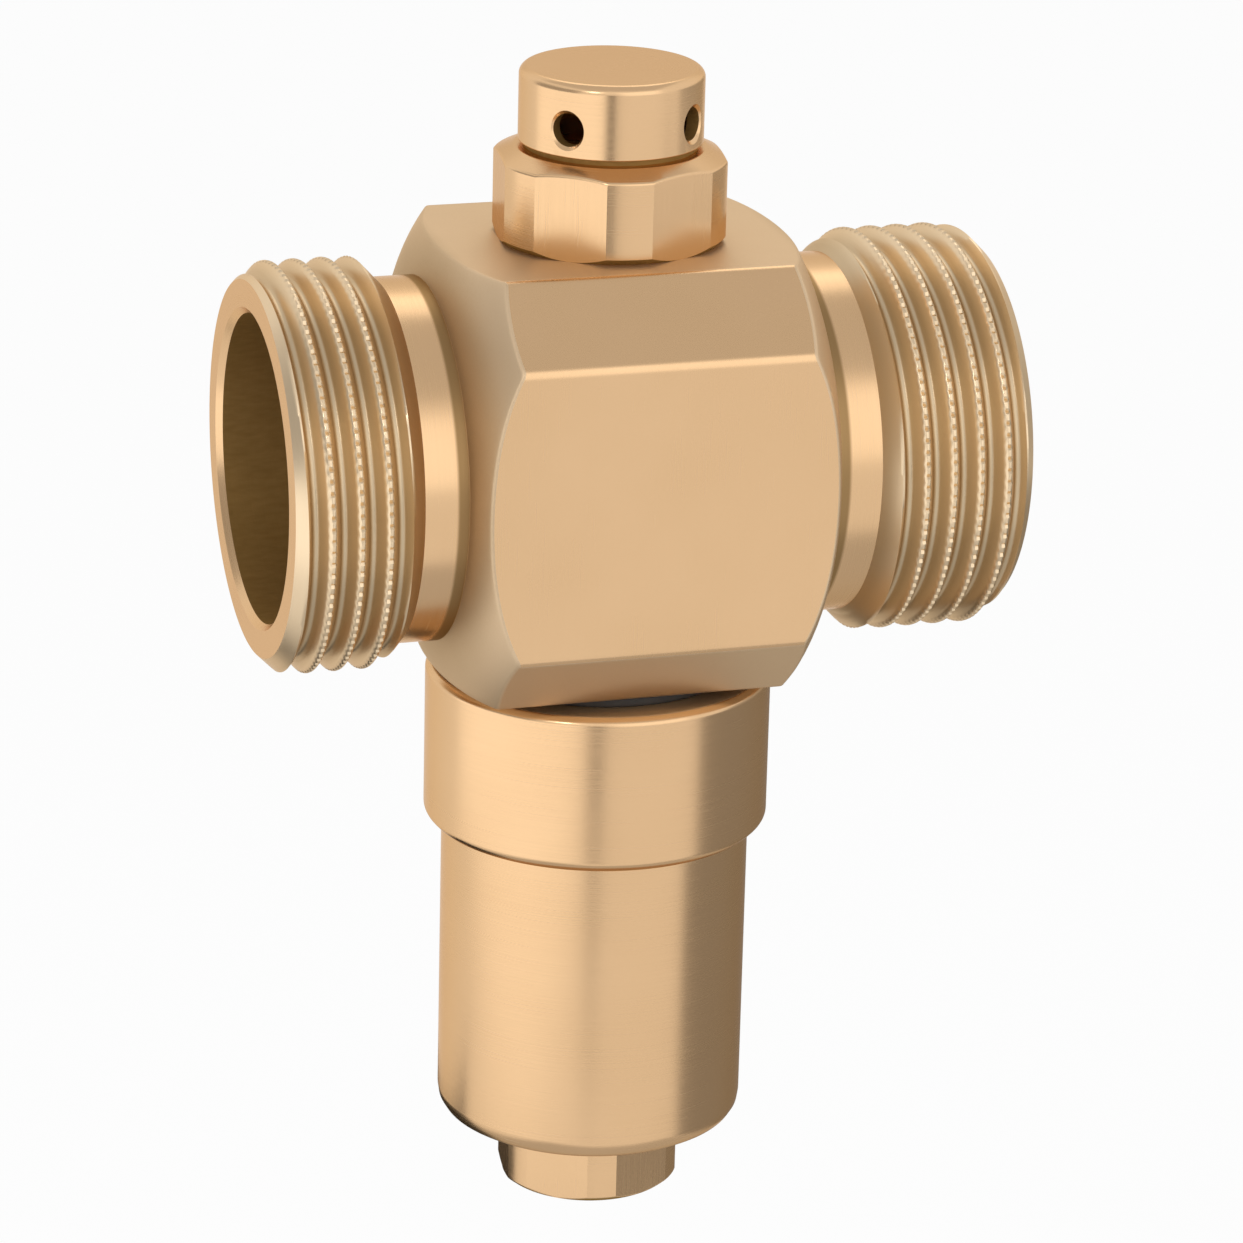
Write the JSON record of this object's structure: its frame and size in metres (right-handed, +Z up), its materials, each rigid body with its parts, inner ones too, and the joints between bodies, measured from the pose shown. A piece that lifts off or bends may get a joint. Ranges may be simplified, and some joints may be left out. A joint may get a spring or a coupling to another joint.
{
  "type": "anti-freeze valve",
  "caption": "Brass anti-freeze drain valve: threaded pipe run through an octagonal block, hexagonal vacuum breaker on top, wax-operated drain sleeve with a hexagonal outlet below.",
  "frame": {"origin": "centre of the inlet end face, on the axis of the waterway", "axes": "+X along the waterway from inlet to outlet, +Z up towards the vacuum breaker, so the drain outlet points down"},
  "size_m": [0.061, 0.0356, 0.0962],
  "materials": {
    "brass": "satin",
    "copper": "satin",
    "steel": "bright drawn",
    "polymer": "matte",
    "seal": "matte",
    "wax": "matte"
  },
  "bodies": {
    "valve": {"breaker_base": "brass", "breaker_cap": "brass", "breaker_guide": "polymer", "breaker_seal": "seal", "breaker_spring": "steel", "collar_seal": "seal", "contrast_spring": "steel", "drain_collar": "brass", "drain_nipple": "brass", "drain_sleeve": "brass", "element_carrier": "brass", "element_nut": "brass", "nipple_seal": "seal", "sleeve_seal": "seal", "valve_body": "brass", "wax_bulb": "copper", "wax_charge": "wax", "wax_guide": "brass"},
    "air_shutter": {"breaker_shutter": "polymer", "shutter_seal": "seal"},
    "drain_obturator": {"obturator": "brass", "obturator_seal": "seal", "pusher_clip": "steel", "overtravel_spring": "steel"},
    "wax_push": {"wax_piston": "steel", "pusher": "steel"}
  },
  "joints": [
    {"name": "air_shutter_drop", "type": "slide", "parent": "valve", "child": "air_shutter", "axis": [0, 0, -1], "range_m": [0, 0.0015], "stiffness_N_per_m": 30, "springref_m": -0.002, "deforming": ["breaker_spring"]},
    {"name": "obturator_lift", "type": "slide", "parent": "valve", "child": "drain_obturator", "axis": [0, 0, 1], "range_m": [0, 0.003], "stiffness_N_per_m": 600, "springref_m": -0.003, "deforming": ["contrast_spring"]},
    {"name": "piston_overtravel", "type": "slide", "parent": "drain_obturator", "child": "wax_push", "axis": [0, 0, -1], "range_m": [0, 0.002], "stiffness_N_per_m": 400, "springref_m": -0.003, "deforming": ["overtravel_spring"]}
  ]
}
